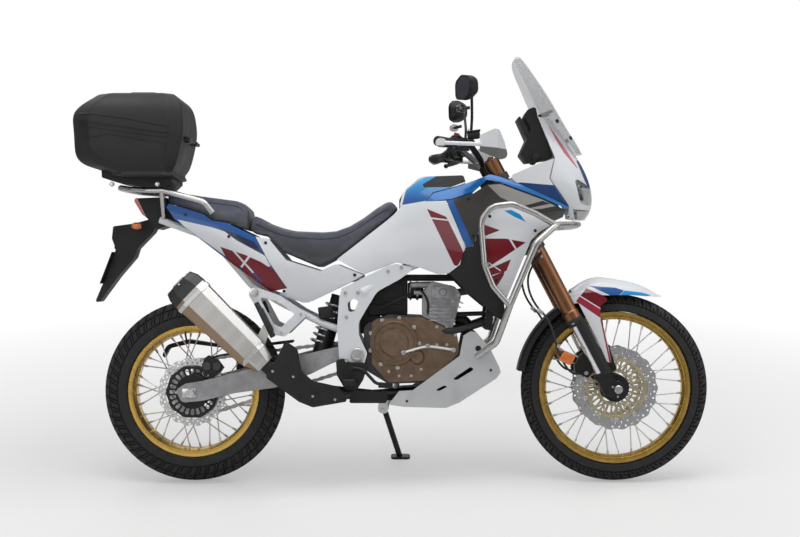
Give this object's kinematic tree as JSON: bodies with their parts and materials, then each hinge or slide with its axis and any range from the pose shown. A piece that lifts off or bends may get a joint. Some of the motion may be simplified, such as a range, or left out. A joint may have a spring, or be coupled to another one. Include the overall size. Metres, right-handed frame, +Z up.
{
  "type": "adventure motorcycle",
  "caption": "Adventure touring motorcycle with wire wheels, upright screen, crash bars, high silencer and a top case, leaning on its side stand.",
  "frame": {"origin": "middle of the leaning motorcycle's box, on the ground", "axes": "+X forward, +Y to the rider's left, +Z up; the bike leans 10 degrees to +Y"},
  "size_m": [2.327, 0.9882, 1.5575],
  "materials": {
    "tyre": "moulded rubber",
    "gold_rim": "gold anodised",
    "black_metal": "satin black",
    "steel": "brushed",
    "chrome": "polished",
    "bronze": "metallic bronze",
    "cast_alloy": "cast",
    "plate_alloy": "satin plate",
    "white_paint": "gloss white",
    "white_plastic": "gloss white",
    "tail_paint": "gloss blue, white and red",
    "blue_plastic": "gloss blue",
    "grey_plastic": "dark metallic grey",
    "black_plastic": "grained black",
    "case_plastic": "grained dark grey",
    "seat": "grained vinyl",
    "clear": "clear lens",
    "screen": "smoke tint",
    "red_lens": "red lens"
  },
  "bodies": {
    "root": {"case_plate": "black_plastic", "case_tub": "case_plastic", "chain": "steel", "chain_guard": "black_plastic", "crash_bars": "steel", "cylinder_head": "cast_alloy", "dash": "black_plastic", "engine_block": "cast_alloy", "engine_covers": "bronze", "exhaust_headers": "steel", "foot_controls": "black_metal", "fuel_tank": "white_paint", "headlights": "clear", "heat_cover": "black_metal", "inner_cowls": "black_plastic", "lower_cowls": "white_plastic", "main_frame": "white_paint", "nose_cowl": "white_plastic", "pillion_seat": "seat", "plate_holder": "black_plastic", "radiators": "black_metal", "rear_axle": "steel", "rear_caliper": "black_metal", "rear_carrier": "plate_alloy", "rear_shock": "black_metal", "rider_seat": "seat", "side_cowls": "grey_plastic", "side_panels": "white_plastic", "silencer": "steel", "skid_plate": "plate_alloy", "subframe": "white_paint", "swingarm": "cast_alloy", "tail_lamp": "red_lens", "tail_panels": "tail_paint", "upper_cowls": "blue_plastic", "windscreen": "screen"},
    "steering": {"fork_yokes": "black_metal", "fork_tubes": "bronze", "fork_stanchions": "chrome", "fork_lowers": "black_metal", "front_axle": "steel", "front_calipers": "black_metal", "front_fender": "white_plastic", "fork_guards": "black_plastic", "handlebar": "black_metal", "bar_controls": "black_plastic", "hand_guards": "white_plastic"},
    "front_wheel": {"front_tyre": "tyre", "front_rim": "gold_rim", "front_hub": "black_metal", "front_spokes": "steel", "front_discs": "steel"},
    "rear_wheel": {"rear_tyre": "tyre", "rear_rim": "gold_rim", "rear_hub": "black_metal", "rear_spokes": "steel", "rear_disc": "steel", "rear_sprocket": "steel"},
    "lid": {"case_lid": "case_plastic"},
    "stand": {"side_stand": "black_metal"}
  },
  "joints": [
    {"name": "steering", "type": "hinge", "parent": "root", "child": "steering", "pos_m": [0.432, -0.06503, 0.93671], "axis": [-0.4617, 0.154, 0.8735], "range_deg": [-38, 38]},
    {"name": "front_wheel_spin", "type": "hinge", "parent": "steering", "child": "front_wheel", "pos_m": [0.81354, -0.16974, 0.34287], "axis": [0, 0.9848, -0.1736], "continuous": true},
    {"name": "rear_wheel_spin", "type": "hinge", "parent": "root", "child": "rear_wheel", "pos_m": [-0.746, -0.17183, 0.33105], "axis": [0, 0.9848, -0.1736], "continuous": true},
    {"name": "case_lid", "type": "hinge", "parent": "root", "child": "lid", "pos_m": [-0.754, -0.01138, 1.24101], "axis": [0, 0.9848, -0.1736], "range_deg": [0, 70]},
    {"name": "side_stand", "type": "hinge", "parent": "root", "child": "stand", "pos_m": [-0.046, -0.04663, 0.23485], "axis": [0.1207, 0.8918, 0.436], "range_deg": [0, 96.5]}
  ]
}
